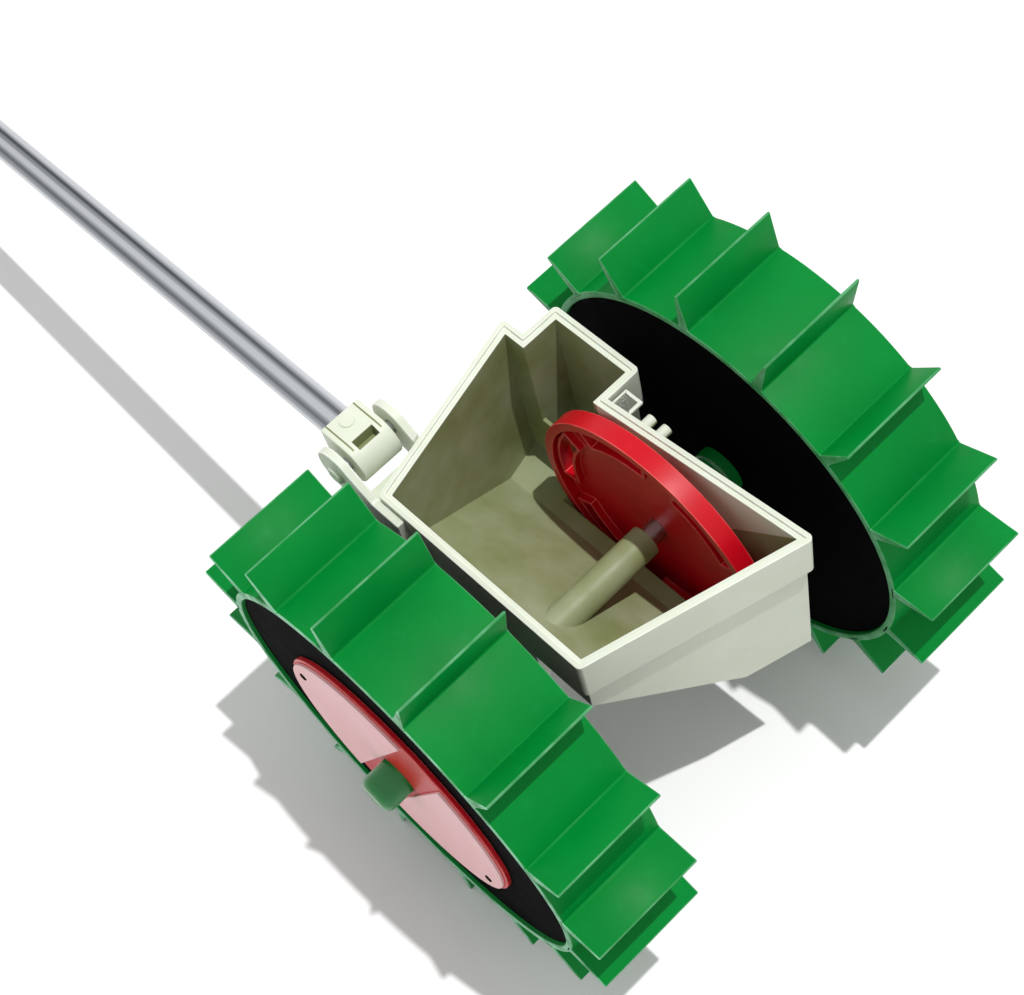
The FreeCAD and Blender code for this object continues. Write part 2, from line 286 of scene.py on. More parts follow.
def noted(tree, attribute):
    """A number from 0 to 1 that a piece's faces carry; a piece without it counts as 0."""
    reader = tree.nodes.new("ShaderNodeAttribute")
    reader.attribute_name = attribute
    return reader.outputs["Fac"]

# %% Moulded plastic
grains = {                         # noise: its scale to the metre, and its detail
    "drift": (22.0, 3.0),
    "scuffs": (150.0, 8.0),
    "stains": (35.0, 4.0),
    "wear": (90.0, 3.0),
    "gloss": (70.0, 5.0),
    "peel": (900.0, 2.0),
}


def moulded(name, colour, deep, scuff, gloss, peel=0.1, translucent=0.0, shine=0.3, edge=None,
            stain=None):
    """Plastic: its colour, a deeper drift of it, the paler colour of scuffs and of worn edges, which is also
    a painted highlight along them, and its roughness as (low, high)."""
    made, parts, link = new_material(name)
    tree = made.node_tree
    shader = parts["Principled BSDF"]
    place = parts.new("ShaderNodeTexCoord").outputs["Object"]

    def grain(kind):
        return noise(tree, place, *grains[kind])

    pigment = blended(tree, between(tree, grain("drift"), 0.0, 1.0), colour, deep)
    rubbed = between(tree, grain("scuffs"), 0.0, 0.35, start=0.60, end=0.78)
    skin = blended(tree, rubbed, pigment, scuff)
    # painted shade: faces that carry the number are blended towards the olive of painted shade
    if stain:
        cloudy = between(tree, grain("stains"), 0.72, 1.0)
        skin = blended(tree, calculated(tree, "MULTIPLY", noted(tree, "stained"), cloudy), skin, stain)
    # worn edges are painted pale: wear, and a painted highlight along the edge
    uneven = between(tree, grain("wear"), 0.35, 1.0, start=0.35, end=0.6)
    worn_and_highlit = calculated(tree, "MULTIPLY", noted(tree, "worn_edge"), uneven)
    link(blended(tree, worn_and_highlit, skin, edge or scuff), shader.inputs["Base Color"])
    link(between(tree, grain("gloss"), *gloss), shader.inputs["Roughness"])
    link(bumped(tree, grain("peel"), strength=peel, distance=0.0002), shader.inputs["Normal"])
    shader.inputs["Specular IOR Level"].default_value = shine
    if translucent:
        shader.inputs["Subsurface Weight"].default_value = translucent
        shader.inputs["Subsurface Radius"].default_value = (1.0, 0.9, 0.6)
        shader.inputs["Subsurface Scale"].default_value = 0.002
    return made

# %% The plastics, and the rubber of the grip
green = dict(colour=srgb(0, 136, 53), deep=srgb(0, 125, 48), scuff=srgb(18, 147, 72))
# the cream's olive (130, 138, 86) is painted shade for the inside of the hopper and the block's hollows
looks = {
    # each edge colour is the pale colour of worn edges, which also stands as a painted highlight on them
    "green_plastic": dict(green, gloss=(0.42, 0.52), peel=0.06, shine=0.1, edge=srgb(150, 216, 176)),
    "black_plastic": dict(colour=srgb(5, 5, 6), deep=srgb(3, 3, 3), scuff=srgb(12, 12, 13),
                          gloss=(0.7, 0.8), shine=0.01),
    "cream_plastic": dict(colour=srgb(226, 232, 214), deep=srgb(218, 224, 205),
                          scuff=srgb(236, 240, 228), gloss=(0.40, 0.52), peel=0.08, translucent=0.1,
                          edge=srgb(246, 249, 240), stain=srgb(130, 138, 86)),
    "red_plastic": dict(colour=srgb(216, 6, 30), deep=srgb(196, 4, 26), scuff=srgb(226, 30, 48),
                        gloss=(0.30, 0.42), peel=0.06, shine=0.25, edge=srgb(244, 104, 100)),
    "pink_plastic": dict(colour=srgb(255, 206, 208), deep=srgb(253, 197, 200),
                         scuff=srgb(255, 220, 219), gloss=(0.42, 0.54), peel=0.08),
    "polished_green": dict(green, gloss=(0.16, 0.26), peel=0.03, shine=0.5),
    "grip_rubber": dict(colour=srgb(30, 30, 31), deep=srgb(22, 22, 23), scuff=srgb(52, 52, 53),
                        gloss=(0.7, 0.85), peel=0.5),
}
finishes = {name: moulded(name, **look) for name, look in looks.items()}
print("plastics and rubber:", sorted(finishes))

# %% [markdown]
# ## Metals
# The handle is a drawn aluminium tube: drawing leaves fine lines along it, and its tone runs in long
# light and dark streaks, which stand partly for the drawing and partly as a painted reflection.  An
# anisotropic shader would show the gloss of such lines but not the lines.  Stretching a noise along the tube
# gives both, so the coordinates are first turned to lie along the handle.  The axle and the pivot's pin are
# zinc plated, with a faint cloudy bloom, which is plain noise.

# %% Metals
def metal(name, colour, deep, gloss, grain_scales, streak_and_reflection_scales=None):
    """Metal whose grain has its own scale in (x, y, z), and whose tone is cloudy or runs in streaks; on the
    tube the light and dark streaks are also a painted reflection.
    """
    made, parts, link = new_material(name)
    tree = made.node_tree
    shader = parts["Principled BSDF"]
    shader.inputs["Metallic"].default_value = 1.0
    place = parts.new("ShaderNodeTexCoord").outputs["Object"]

    def squeezed(scales):
        squeeze = parts.new("ShaderNodeMapping")
        squeeze.vector_type = "TEXTURE"          # turns first, then scales
        squeeze.inputs["Rotation"].default_value = (0, -handle_tilt, 0)
        squeeze.inputs["Scale"].default_value = [1 / scale for scale in scales]
        link(place, squeeze.inputs["Vector"])
        return squeeze.outputs["Vector"]

    grain = noise(tree, squeezed(grain_scales), scale=1.0, detail=4.0)
    if streak_and_reflection_scales:
        tone = noise(tree, squeezed(streak_and_reflection_scales), scale=1.0, detail=2.0)
    else:
        tone = noise(tree, place, scale=30.0, detail=4.0)
    link(blended(tree, between(tree, tone, 0.0, 1.0, start=0.38, end=0.62), colour, deep),
         shader.inputs["Base Color"])
    link(between(tree, grain, *gloss), shader.inputs["Roughness"])
    link(bumped(tree, grain, strength=0.15, distance=0.0001), shader.inputs["Normal"])
    return made


# the tube's streaks run from pale to dark, as drawn tone and as a painted reflection
finishes["tube_aluminium"] = metal("tube_aluminium", srgb(192, 195, 199), srgb(80, 84, 89),
                                   gloss=(0.16, 0.34), grain_scales=(4.0, 700.0, 700.0),
                                   streak_and_reflection_scales=(0.6, 210.0, 210.0))
finishes["plated_steel"] = metal("plated_steel", srgb(190, 192, 194), srgb(170, 172, 172),
                                 gloss=(0.26, 0.42), grain_scales=(400.0, 400.0, 400.0))
print("finishes:", len(finishes))

# %% [markdown]
# ## Giving a piece its place in the model
# Each piece rides on one body, takes a material slot, and may stand for a solid, which is then hidden.  All
# three are read from the solid that the piece dresses, so a piece can't end up on the wrong body.

# %% Placing a piece
slot_of = {part["node"]: part["material_slot"] for part in frame["record"]["subparts"]}
body_of = {node: body for body, names in frame["record"]["behaviour"]["bodies"].items() for node in names}


def settled(obj):
    """The object with its modifiers turned into plain mesh."""
    graph = bpy.context.evaluated_depsgraph_get()
    mesh = bpy.data.meshes.new_from_object(obj.evaluated_get(graph))
    obj.modifiers.clear()
    obj.data = mesh
    return obj


def dress(piece, node, stands_for=True):
    """The piece takes body, slot and finish from a solid, and stands for it."""
    finish = slot_of[node]
    piece.data.materials.clear()
    piece.data.materials.append(finishes[finish])
    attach(piece, body_of[node])
    if stands_for:
        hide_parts(node)
    return piece


def note(piece, attribute, value_of):
    """Writes a number onto each face, which a plastic's material can read."""
    mesh = piece.data
    numbers = mesh.attributes.new(attribute, "FLOAT", "FACE")
    for face in mesh.polygons:
        numbers.data[face.index].value = float(value_of(face))


print("bodies:", sorted(set(body_of.values())))

# %% [markdown]
# ## A front wall in one plane
# The real hopper's slanted front wall is plain.  In the solid, the round housing of the seed disc comes
# through that wall by half a millimetre, which would show as a short tick.  A Boolean could cut it off, but
# leaves slivers that the rounding then throws about.  So the few points that stand proud are pressed back
# into the wall's plane before anything else is done to the copy.

# %% Pressing the wall flush
band_end = 0.04                    # below the rim by this much, past its band, the wall is plain
proud_least, proud_most = 0.00001, 0.0009
sliver_length = 5e-6


def press_front_flush(shape):
    """Moves the points that stand proud of the largest face that looks ahead and to the right."""
    fronts = [face for face in shape.faces if face.normal.x > 0.9 and face.normal.y < -0.2
              and below_rim(face.calc_center_median()) > band_end]
    wall = max(fronts, key=lambda face: face.calc_area())
    point, out = wall.verts[0].co.copy(), wall.normal.copy()
    for vertex in shape.verts:
        proud = (vertex.co - point).dot(out)
        if proud_least < proud < proud_most and below_rim(vertex.co) > band_end:
            vertex.co -= out * proud
    bmesh.ops.dissolve_degenerate(shape, dist=sliver_length, edges=shape.edges)

# %% [markdown]
# ## Softened edges
# A moulding has no knife edges.  A shader can only fake a round, and the model would still be sharp.  So
# each solid is copied, its loose triangles are joined into clean faces, and every edge sharper than 30
# degrees gets a small real round, which is what catches the light.  Weighted normals keep the flat faces
# flat.  The faces of the rounds are noted as worn edges, which are painted pale both as wear and as a
# painted highlight.

# %% Sizes of the rounds
softening_mm = {
    "hopper_shell": 0.4, "drop_chute": 0.4, "handle_clevis": 0.7, "pivot_bolt": 0.5, "axle": 0.5,
    "handle_tube": 0.2, "seed_disc": 0.35, "wheel_web": 0.4, "spare_disc": 0.5, "disc_plates": 0.3,
}
merge_distance = 2e-6
flat_within = math.radians(0.6)
farthest_share = 0.75              # a point may leave the solid by this share of the round
print("softened kinds:", len(softening_mm))

# %% Steps of a soft copy
def add_round(piece, width, segments, sharper_than):
    rounding = piece.modifiers.new("round", "BEVEL")
    rounding.width = width
    rounding.segments = segments
    rounding.limit_method = "ANGLE"
    rounding.angle_limit = math.radians(sharper_than)
    return rounding


def clean_copy(node):
    """A solid's mesh with its triangles merged into clean faces."""
    mesh = nodes[node].data.copy()
    shape = bmesh.new()
    shape.from_mesh(mesh)
    bmesh.ops.remove_doubles(shape, verts=shape.verts, dist=merge_distance)
    if node == "hopper_shell":
        press_front_flush(shape)
    bmesh.ops.dissolve_limit(shape, angle_limit=flat_within, verts=shape.verts, edges=shape.edges)
    shape.to_mesh(mesh)
    shape.free()
    mesh.shade_smooth()
    return mesh


def put_back(piece, node, width):
    """A point that the rounding threw off goes back to the solid's skin."""
    solid = BVHTree.FromObject(nodes[node], bpy.context.evaluated_depsgraph_get())
    count = 0
    for vertex in piece.data.vertices:
        spot, _, _, gap = solid.find_nearest(vertex.co)
        if gap > farthest_share * width:
            vertex.co = spot
            count += 1
    return count

# %% Softened copies
def softened(node, width):
    piece = link_object(node + "_soft", clean_copy(node))
    rounding = add_round(piece, width, segments=2, sharper_than=30)
    rounding.use_clamp_overlap = False
    rounding.material = 1                        # marks the new faces until they are noted
    piece.modifiers.new("normals", "WEIGHTED_NORMAL").keep_sharp = True
    for _ in range(2):
        piece.data.materials.append(finishes[slot_of[node]])
    # the rounds' faces are painted pale as worn edges with a painted highlight
    note(settled(piece), "worn_edge", lambda face: face.material_index == 1)
    for face in piece.data.polygons:
        face.material_index = 0
    count = put_back(piece, node, width)
    print(node, "->", len(piece.data.polygons), "faces,", count, "points put back")
    return dress(piece, node)


soft_pieces = {}
for node in sorted(nodes):
    kind = node.replace("left_", "").replace("right_", "")
    if kind in softening_mm:
        soft_pieces[node] = softened(node, softening_mm[kind] / 1000)

# %% [markdown]
# ## Painted shade inside the hopper
# The inside of the hopper is painted a darker olive, which is painted shade, while its rim and its outside
# stay pale.  It could be painted by hand, but a rule finds the inside by itself: from a point just above an
# inner face, the shell is met in at least three of the four level directions, and from above a floor in at
# least two.  Faces near the top of the rim get no painted shade.

# %% Painted shade on the inside
shell = soft_pieces["hopper_shell"]
shell_tree = BVHTree.FromObject(shell, bpy.context.evaluated_depsgraph_get())
rim_unshaded = 0.004
off_face = 0.001
look_length = 0.3
floor_slope = 0.3                  # a face whose normal rises more than this is a floor


# 1 for a face inside the hopper, which is painted darker as painted shade
def stained(face):
    start = face.center + face.normal * off_face
    walls = [shell_tree.ray_cast(start, Vector(way), look_length)[0]
             for way in ((1, 0, 0), (-1, 0, 0), (0, 1, 0), (0, -1, 0))]
    open_ways = 2 if face.normal.z > floor_slope else 1
    return walls.count(None) <= open_ways and below_rim(start) > rim_unshaded


note(shell, "stained", stained)
stains = shell.data.attributes["stained"].data
for stain, wear in zip(stains, shell.data.attributes["worn_edge"].data):
    wear.value *= 1 - stain.value            # edges inside the hopper take the painted shade, not the pale worn edge
print("stained faces:", sum(number.value > 0 for number in stains))

# %% [markdown]
# ## The lugged drums
# The wheels are what the eye meets first: a drum with sixteen thin blades, each with a flared root, all in
# one moulding.  An Array modifier could repeat the blades, but the drum and its ring of blades follow one
# rule, so Geometry Nodes builds both from a few named sizes.  One blade is drawn as a section with a flared
# foot, run across the drum's width; the tree sets sixteen of them round the axle and sweeps the drum's
# rounded wall about it.

# %% Sizes of a drum
drum_radius = 0.100
drum_wall = 0.0035
drum_width = size("left_wheel_rim").y
drum_edge_round = 0.0008
blade_count = 16
blade_height = 0.020
blade_base = 0.005
blade_tip = 0.0012
blade_round = 0.0004
foot_depth = 0.0015                # the blade's foot reaches this far into the drum
root_round = 0.0015
root_sink = 0.0003
root_steps = 4
drum_crease = 50                   # degrees; edges sharper than this stay crisp
print("drum", round(2000 * drum_radius), "mm across and", round(1000 * drum_width, 1), "mm wide")

# %% Closed meshes
def mesh_of(name, shape, sharp_degrees=None):
    """The drawn shape as a mesh with outward faces, smooth but for the edges sharper than an angle."""
    bmesh.ops.recalc_face_normals(shape, faces=shape.faces)
    mesh = bpy.data.meshes.new(name)
    shape.to_mesh(mesh)
    shape.free()
    if sharp_degrees:
        mesh.shade_smooth()
        mesh.set_sharp_from_angle(angle=math.radians(sharp_degrees))
    return mesh


def stacked(name, layers, sharp_degrees=None):
    """A closed mesh through layers of points, each with as many points as the next."""
    shape = bmesh.new()
    rings = [[shape.verts.new(spot) for spot in layer] for layer in layers]
    for first, second in zip(rings, rings[1:]):
        for i in range(len(first)):
            j = (i + 1) % len(first)
            shape.faces.new((first[i], first[j], second[j], second[i]))
    shape.faces.new(rings[0])
    shape.faces.new(rings[-1])
    return mesh_of(name, shape, sharp_degrees)

# %% One blade
def blade_section():
    """Half of the section, as (outwards from the axle, sideways) points from foot to tip."""
    points = []
    for k in range(root_steps + 1):
        t = math.radians(90 * k / root_steps)
        points.append((drum_radius + root_round * (1 - math.cos(t)) - root_sink,
                       blade_base / 2 + root_round * (1 - math.sin(t))))
    points.append((drum_radius + blade_height - blade_round, blade_tip / 2))
    points.append((drum_radius + blade_height, blade_tip / 2 - blade_round))
    return [(drum_radius - foot_depth, points[0][1])] + points


def blade_mesh():
    side = blade_section()
    outline = side + [(out, -across) for out, across in reversed(side)]
    end = drum_width / 2
    layers = []
    for along, inset in ((-end, blade_round), (-end + blade_round, 0.0), (end - blade_round, 0.0),
                         (end, blade_round)):
        layer = []
        for out, across in outline:
            shrunk = across - math.copysign(min(inset, abs(across) / 2), across)
            lowered = out - inset if out > drum_radius + blade_height / 2 else out
            layer.append((lowered, along, shrunk))
        layers.append(layer)
    return stacked("blade", layers, drum_crease)


blade = link_object("blade", blade_mesh())
print("one blade:", len(blade.data.polygons), "faces")

# %% Steps that the trees share
def new_tree(name, inputs):
    """An empty tree with named inputs, the outputs that give them, and what makes nodes and links."""
    tree = bpy.data.node_groups.new(name, "GeometryNodeTree")
    tree.interface.new_socket("Geometry", in_out="OUTPUT", socket_type="NodeSocketGeometry")
    for label, kind in inputs.items():
        tree.interface.new_socket(label, in_out="INPUT", socket_type="NodeSocket" + kind)
    return tree, tree.nodes.new("NodeGroupInput").outputs, tree.nodes.new, tree.links.new


def copies_on(tree, points, model, turns=None):
    """A copy of an object on each point."""
    source = tree.nodes.new("GeometryNodeObjectInfo")
    tree.links.new(model, source.inputs["Object"])
    copies = tree.nodes.new("GeometryNodeInstanceOnPoints")
    tree.links.new(points, copies.inputs["Points"])
    tree.links.new(source.outputs["Geometry"], copies.inputs["Instance"])
    if turns is not None:
        tree.links.new(turns, copies.inputs["Rotation"])
    return copies.outputs["Instances"]


def end_tree(tree, geometry, place, finish):
    """Moves the geometry to its place, makes the copies real and paints them."""
    moved = tree.nodes.new("GeometryNodeTransform")
    tree.links.new(geometry, moved.inputs["Geometry"])
    tree.links.new(place, moved.inputs["Translation"])
    real = tree.nodes.new("GeometryNodeRealizeInstances")
    tree.links.new(moved.outputs["Geometry"], real.inputs["Geometry"])
    painted = tree.nodes.new("GeometryNodeSetMaterial")
    tree.links.new(real.outputs["Geometry"], painted.inputs["Geometry"])
    tree.links.new(finish, painted.inputs["Material"])
    tree.links.new(painted.outputs["Geometry"], tree.nodes.new("NodeGroupOutput").inputs["Geometry"])

# %% An object from a tree
def grown_by(tree, name, **values):
    """An object made by a tree, with the tree's inputs given by their names."""
    obj = link_object(name, bpy.data.meshes.new(name))
    grower = obj.modifiers.new("grow", "NODES")
    grower.node_group = tree
    socket = {item.name: item.identifier for item in tree.interface.items_tree
              if item.in_out == "INPUT"}
    for key, value in values.items():
        grower[socket[key.replace("_", " ")]] = value
    return settled(obj)

# %% The drum's wall
def swept_ring(tree, radius, thick, wide, corner):
    """A section with rounded corners, swept round the axle."""
    make, link = tree.nodes.new, tree.links.new
    circle = make("GeometryNodeCurvePrimitiveCircle")
    circle.inputs["Resolution"].default_value = 192
    link(radius, circle.inputs["Radius"])
    section = make("GeometryNodeCurvePrimitiveQuadrilateral")
    link(wide, section.inputs["Height"])
    link(thick, section.inputs["Width"])
    fillet = make("GeometryNodeFilletCurve")
    fillet.mode = "POLY"
    fillet.inputs["Count"].default_value = 3
    link(section.outputs["Curve"], fillet.inputs["Curve"])
    link(corner, fillet.inputs["Radius"])
    sweep = make("GeometryNodeCurveToMesh")
    link(circle.outputs["Curve"], sweep.inputs["Curve"])
    link(fillet.outputs["Curve"], sweep.inputs["Profile Curve"])
    stand = make("GeometryNodeTransform")
    stand.inputs["Rotation"].default_value = (math.radians(90), 0, 0)
    link(sweep.outputs["Mesh"], stand.inputs["Geometry"])
    return stand.outputs["Geometry"]

# %% The drum tree
def drum_tree():
    tree, given, make, link = new_tree("lugged_drum", {
        "Blades": "Int", "Radius": "Float", "Wall": "Float", "Width": "Float", "Edge round": "Float",
        "Middle": "Vector", "Blade": "Object", "Plastic": "Material"})
    half_wall = calculated(tree, "MULTIPLY", given["Wall"], 0.5)
    wall_middle = calculated(tree, "SUBTRACT", given["Radius"], half_wall)
    wall = swept_ring(tree, wall_middle, given["Wall"], given["Width"], given["Edge round"])

    points = make("GeometryNodePoints")
    link(given["Blades"], points.inputs["Count"])
    half_on = calculated(tree, "ADD", make("GeometryNodeInputIndex").outputs["Index"], 0.5)
    share = calculated(tree, "DIVIDE", half_on, given["Blades"])
    about = make("ShaderNodeCombineXYZ")
    link(calculated(tree, "MULTIPLY", share, 2 * math.pi), about.inputs["Y"])
    spin = make("FunctionNodeEulerToRotation")
    link(about.outputs["Vector"], spin.inputs["Euler"])
    blades = copies_on(tree, points.outputs["Points"], given["Blade"], spin.outputs["Rotation"])

    joined = make("GeometryNodeJoinGeometry")
    for part in (wall, blades):
        link(part, joined.inputs["Geometry"])
    end_tree(tree, joined.outputs["Geometry"], given["Middle"], given["Plastic"])
    return tree


lugged_drum = drum_tree()
print("drum tree:", len(lugged_drum.nodes), "nodes")

# %% Two drums, their edges painted pale as wear and as a painted highlight
end_facing = 0.3                   # a face whose normal lies this much along the axle is at an edge
edge_band, tip_band = 0.0009, 0.0006
# how pale each part of the drum is painted, as wear and as a painted highlight
outer_wear_and_sheen, inner_wear_and_sheen, tip_wear_and_sheen = 1.0, 0.4, 0.35


def drum_wear_and_sheen(centre):
    """The drum's outer edge is painted pale, as wear and as a painted highlight; its inner edge and the
    blades' tips less so.
    """
    outwards = math.copysign(1, centre.y)

    def wear(face):
        away = face.center - centre
        if abs(face.normal.y) > end_facing and abs(away.y) > drum_width / 2 - edge_band:
            return outer_wear_and_sheen if away.y * outwards > 0 else inner_wear_and_sheen
        return tip_wear_and_sheen if math.hypot(away.x, away.z) > drum_radius + blade_height - tip_band else 0.0

    return wear


for side in ("left", "right"):
    node = side + "_wheel_rim"
    drum = grown_by(lugged_drum, side + "_lugged_drum", Blades=blade_count, Radius=drum_radius,
                    Wall=drum_wall, Width=drum_width, Edge_round=drum_edge_round,
                    Middle=middle(node), Blade=blade, Plastic=finishes["green_plastic"])
    drum.data.set_sharp_from_angle(angle=math.radians(drum_crease))
    note(drum, "worn_edge", drum_wear_and_sheen(middle(node)))
    dress(drum, node)
    low, high = ([end(v.co[i] for v in drum.data.vertices) for i in range(3)] for end in (min, max))
    print(node, len(drum.data.polygons), "faces", [round(h - l, 4) for h, l in zip(high, low)],
          "solid", [round(v, 4) for v in size(node)])
bpy.data.objects.remove(blade)

# %% [markdown]
# ## Round pieces
# The hubs, the knobs that carry the stored discs, the caps of the pivot and the rubber grip are all round.
# Cylinders with a bevel would do for the plainest of them.  Here each is drawn as a line in half of its
# section and turned about its axis, as on a lathe, so that one helper makes every profile.  Sharp corners of
# the line are first swapped for short arcs, because a moulded hub has a soft nose.

# %% Soft corners on a line
def rounded(line, steps=5):
    """A line of (along, out, radius) points, with an arc of that radius at each corner."""
    points = []
    for i, (along, out, radius) in enumerate(line):
        corner = Vector((along, out))
        if not radius:
            points.append(corner)
            continue
        before = (Vector(line[i - 1][:2]) - corner).normalized()
        after = (Vector(line[(i + 1) % len(line)][:2]) - corner).normalized()
        half = before.angle(after) / 2
        centre = corner + (before + after).normalized() * radius / math.sin(half)
        start = (corner + before * radius / math.tan(half) - centre).normalized()
        end = (corner + after * radius / math.tan(half) - centre).normalized()
        points += [centre + start.slerp(end, k / steps) * radius for k in range(steps + 1)]
    return points

# %% Turning a line about an axis
on_axis = 1e-7
plastic_crease = 35                # degrees; edges sharper than this stay crisp


def turned(name, line, origin, along, sides=72):
    """The skin made by turning a closed line; its points on the axis become poles."""
    along = Vector(along).normalized()
    across = Vector((0, 0, 1)).cross(along).normalized()
    third = along.cross(across)
    turns = [2 * math.pi * k / sides for k in range(sides)]
    shape = bmesh.new()
    rings = []
    for far, out in rounded(line):
        centre = origin + along * far
        if out < on_axis:
            rings.append([shape.verts.new(centre)])
            continue
        rings.append([shape.verts.new(centre + (across * math.cos(t) + third * math.sin(t)) * out)
                      for t in turns])
    for first, second in zip(rings, rings[1:] + rings[:1]):
        if len(first) == len(second) == 1:
            continue
        for k in range(sides):
            corners = [first[k % len(first)], first[(k + 1) % len(first)],
                       second[(k + 1) % len(second)], second[k % len(second)]]
            shape.faces.new(list(dict.fromkeys(corners)))
    return link_object(name, mesh_of(name, shape, plastic_crease))


def button(start, end, radius, soft=0.0, taper=0.0):
    """The line of a plain round boss, with a soft and perhaps narrower outer edge."""
    return [(start, 0.0, 0), (start, radius, 0), (end, radius - taper, soft), (end, 0.0, 0)]

# %% [markdown]
# ## Hubs with their knobs
# Each wheel turns on a glossy green hub, whose outer end narrows to a knob that holds a stored disc.  Both
# are one moulding, so one line gives the nose, the step that the disc sits against, and the knob.

# %% Hubs with their knobs
hub_radius = size("left_wheel_hub").x / 2
knob_radius = 0.009
axle_bore = 0.00515
bore_end = 0.051                   # this and the disc's seat are measured from the drum's inner edge
disc_seat = 0.052
bore_round, nose_round, seat_round, knob_round = 0.0006, 0.0045, 0.0003, 0.004
for side, outwards in (("left", 1), ("right", -1)):
    node = side + "_wheel_hub"
    low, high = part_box(node)
    inner_edge = middle(side + "_wheel_rim") - Vector((0, outwards * drum_width / 2, 0))
    nose, end = sorted(((low.y - inner_edge.y) * outwards, (high.y - inner_edge.y) * outwards))
    line = [(nose, axle_bore, bore_round), (nose, hub_radius, nose_round),
            (disc_seat, hub_radius, seat_round), (disc_seat, knob_radius, seat_round),
            (end, knob_radius, knob_round), (end, 0.0, 0), (bore_end, 0.0, 0), (bore_end, axle_bore, 0)]
    hub = turned(side + "_hub_and_knob", line, inner_edge, (0, outwards, 0))
    dress(hub, node)
    hub.data.materials[0] = finishes["polished_green"]
    print(node, "->", len(hub.data.polygons), "faces, nose", round(nose, 4), "end", round(end, 4))

# %% [markdown]
# ## The grip
# The grip is a rubber sleeve with a closed, rounded end, and shallow grooves round it for the fingers.  A
# bump in the material would not show at its outline, so the grooves are drawn into the turned line.

# %% The grip
grip_radius = 0.014
grip_length = 0.125
tube_bore = 0.00765
mouth_round, end_round = 0.002, 0.005
grip_end_wall = 0.004
first_groove = 0.016
groove_count, groove_pitch, groove_width, groove_depth = 12, 0.008, 0.0016, 0.0006
groove_edge_round, groove_foot_round = 0.0004, 0.0002
grip_points = [vertex.co for vertex in nodes["handle_grip"].data.vertices]
grip_end = max((point - handle_pivot).dot(handle_line) for point in grip_points)
grip_start = grip_end - grip_length
groove_foot = grip_radius - groove_depth
line = [(0.0, tube_bore, 0), (0.0, grip_radius, mouth_round)]
for k in range(groove_count):
    start = first_groove + k * groove_pitch
    line += [(start, grip_radius, groove_edge_round),
             (start + groove_width / 4, groove_foot, groove_foot_round),
             (start + groove_width * 3 / 4, groove_foot, groove_foot_round),
             (start + groove_width, grip_radius, groove_edge_round)]
line += [(grip_length, grip_radius, end_round), (grip_length, 0.0, 0),
         (grip_length - grip_end_wall, 0.0, 0), (grip_length - grip_end_wall, tube_bore, 0)]
grip = turned("ribbed_grip", line, handle_pivot + handle_line * grip_start, handle_line)
dress(grip, "handle_grip")
print("grip faces:", len(grip.data.polygons), "box", [round(v, 4) for v in grip.dimensions],
      "solid", [round(v, 4) for v in size("handle_grip")])

# %% [markdown]
# ## Caps on the pivot
# The ends of the pin through the cheeks are hidden by low round caps of the hopper's own plastic.  The pin's
# box gives their places, and each is a turned button with a soft edge.

# %% Caps
cap_radius, cap_height, cap_round = 0.0046, 0.0019, 0.0014
pin_low, pin_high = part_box("pivot_bolt")
pin_end = 0.001                    # the pin stands out of each cheek by this much
for name, y, way in (("outer_cap", pin_low.y + pin_end, -1), ("inner_cap", pin_high.y - pin_end, 1)):
    cap = turned(name, button(0.0, cap_height, cap_radius, cap_round),
                 Vector((handle_pivot.x, y, handle_pivot.z)), (0, way, 0), sides=48)
    dress(cap, "handle_clevis", stands_for=False)
print("caps at y", round(pin_low.y + pin_end, 4), "and", round(pin_high.y - pin_end, 4))

# %% [markdown]
# ## The block that holds the tube
# The block on the pivot is a rounded moulding with a window over the pin, two fine grooves along its top and
# a low round pad near the tube.  It could be built up face by face, but its openings cross its rounded
# front.  So its side view is drawn as an outline and given its width, its edges are rounded, and the
# openings are then cut with Boolean modifiers, which leaves their own edges crisp.

# %% Drawing in line with the handle
def along_handle(x, y, z):
    """A point given from the pivot: x forward in line with the handle, z square to it."""
    forward = -handle_line
    square = Vector((-forward.z, 0, forward.x))
    return handle_pivot + forward * x + Vector((0, y, 0)) + square * z


upwards = along_handle(0, 0, 1) - handle_pivot


def side_prism(name, outline, low, high):
    """A solid over an outline of (x, z) points, from one y to another."""
    return link_object(name, stacked(name, [[along_handle(x, y, z) for x, z in outline]
                                            for y in (low, high)]))


def upright_cutter(name, x0, x1, y0, y1, low, high):
    """A solid over a rectangle of x and y, from one height to another."""
    outline = [(x0, y0), (x1, y0), (x1, y1), (x0, y1)]
    return link_object(name, stacked(name, [[along_handle(x, y, z) for x, y in outline]
                                            for z in (low, high)]))


print("up from the handle:", [round(v, 3) for v in upwards])

# %% The block's body
block_half = 0.0105                # half of its width and of its height
block_reach = 0.015                # from the pivot back along the tube
block_round = 0.0007
front_step = 6                     # degrees of its round front to a face
front = [(block_half * math.sin(math.radians(a)), block_half * math.cos(math.radians(a)))
         for a in range(0, 181, front_step)]
block = side_prism("handle_block", front + [(-block_reach, -block_half), (-block_reach, block_half)],
                   -block_half, block_half)
add_round(block, block_round, segments=3, sharper_than=40)
settled(block)
print("block before its openings:", len(block.data.polygons), "faces")

